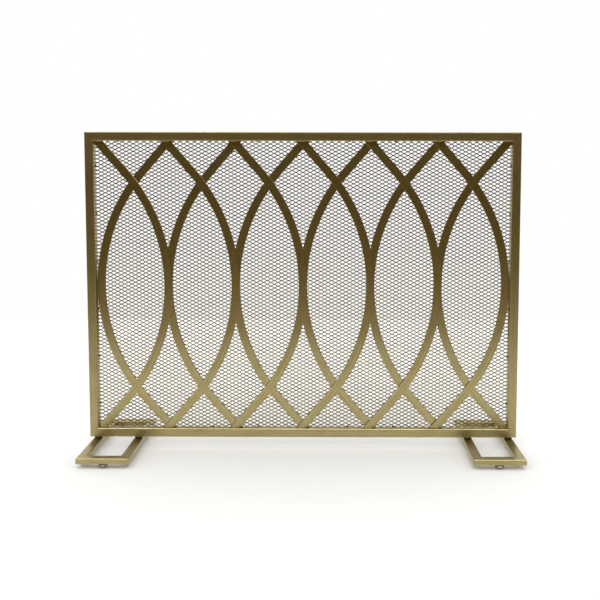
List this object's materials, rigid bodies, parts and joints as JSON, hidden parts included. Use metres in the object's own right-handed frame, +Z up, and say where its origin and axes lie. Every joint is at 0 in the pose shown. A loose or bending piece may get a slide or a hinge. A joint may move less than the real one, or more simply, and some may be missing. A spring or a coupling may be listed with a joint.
{
  "type": "fireplace screen",
  "caption": "Flat single-panel fireplace screen: metal frame with crossing curved bars over expanded mesh, on open rectangular feet with levelling glides.",
  "frame": {"origin": "on the floor, at the middle of the four glides, which is the bottom centre of the whole screen", "axes": "+Z up; +X to the right as seen from the room, along the screen's width; -Y towards the room, the side the curved bars are on"},
  "size_m": [0.99, 0.26, 0.7321],
  "materials": {
    "frame_gold": "brushed satin antique-gold metallic lacquer over mitred steel tube, grain along each bar",
    "arc_gold": "brushed satin antique-gold metallic lacquer over flat steel bar",
    "foot_gold": "brushed satin antique-gold metallic lacquer over rectangular steel tube, bright rounded edges",
    "expanded_mesh": "flattened expanded steel, sprayed with the same gold lacquer, darker in its thin strands",
    "fastener_zinc": "bright zinc-plated steel, fine turned marks",
    "spacer_nylon": "black moulded nylon, fine matt texture",
    "glide_nickel": "polished nickel-plated steel dome"
  },
  "bodies": {
    "screen": {"top_rail": "frame_gold", "bottom_rail": "frame_gold", "left_stile": "frame_gold", "right_stile": "frame_gold", "front_arc_1": "arc_gold", "front_arc_2": "arc_gold", "front_arc_3": "arc_gold", "front_arc_4": "arc_gold", "front_arc_5": "arc_gold", "front_arc_6": "arc_gold", "rear_arc_1": "arc_gold", "rear_arc_2": "arc_gold", "rear_arc_3": "arc_gold", "rear_arc_4": "arc_gold", "rear_arc_5": "arc_gold", "rear_arc_6": "arc_gold", "left_foot_front_bar": "foot_gold", "left_foot_rear_bar": "foot_gold", "left_foot_outer_bar": "foot_gold", "left_foot_inner_bar": "foot_gold", "right_foot_front_bar": "foot_gold", "right_foot_rear_bar": "foot_gold", "right_foot_outer_bar": "foot_gold", "right_foot_inner_bar": "foot_gold", "mesh_panel": "expanded_mesh", "left_outer_rail_insert": "fastener_zinc", "left_outer_washer": "fastener_zinc", "left_outer_screw": "fastener_zinc", "left_inner_rail_insert": "fastener_zinc", "left_inner_washer": "fastener_zinc", "left_inner_screw": "fastener_zinc", "left_front_glide_insert": "fastener_zinc", "left_rear_glide_insert": "fastener_zinc", "right_outer_rail_insert": "fastener_zinc", "right_outer_washer": "fastener_zinc", "right_outer_screw": "fastener_zinc", "right_inner_rail_insert": "fastener_zinc", "right_inner_washer": "fastener_zinc", "right_inner_screw": "fastener_zinc", "right_front_glide_insert": "fastener_zinc", "right_rear_glide_insert": "fastener_zinc", "left_outer_spacer": "spacer_nylon", "left_inner_spacer": "spacer_nylon", "right_outer_spacer": "spacer_nylon", "right_inner_spacer": "spacer_nylon"},
    "left_front_glide": {"left_front_glide": "glide_nickel"},
    "left_rear_glide": {"left_rear_glide": "glide_nickel"},
    "right_front_glide": {"right_front_glide": "glide_nickel"},
    "right_rear_glide": {"right_rear_glide": "glide_nickel"}
  },
  "joints": [
    {"name": "left_front_glide_travel", "type": "slide", "parent": "screen", "child": "left_front_glide", "axis": [0, 0, -1], "range_m": [0, 0.005]},
    {"name": "left_rear_glide_travel", "type": "slide", "parent": "screen", "child": "left_rear_glide", "axis": [0, 0, -1], "range_m": [0, 0.005]},
    {"name": "right_front_glide_travel", "type": "slide", "parent": "screen", "child": "right_front_glide", "axis": [0, 0, -1], "range_m": [0, 0.005]},
    {"name": "right_rear_glide_travel", "type": "slide", "parent": "screen", "child": "right_rear_glide", "axis": [0, 0, -1], "range_m": [0, 0.005]}
  ]
}
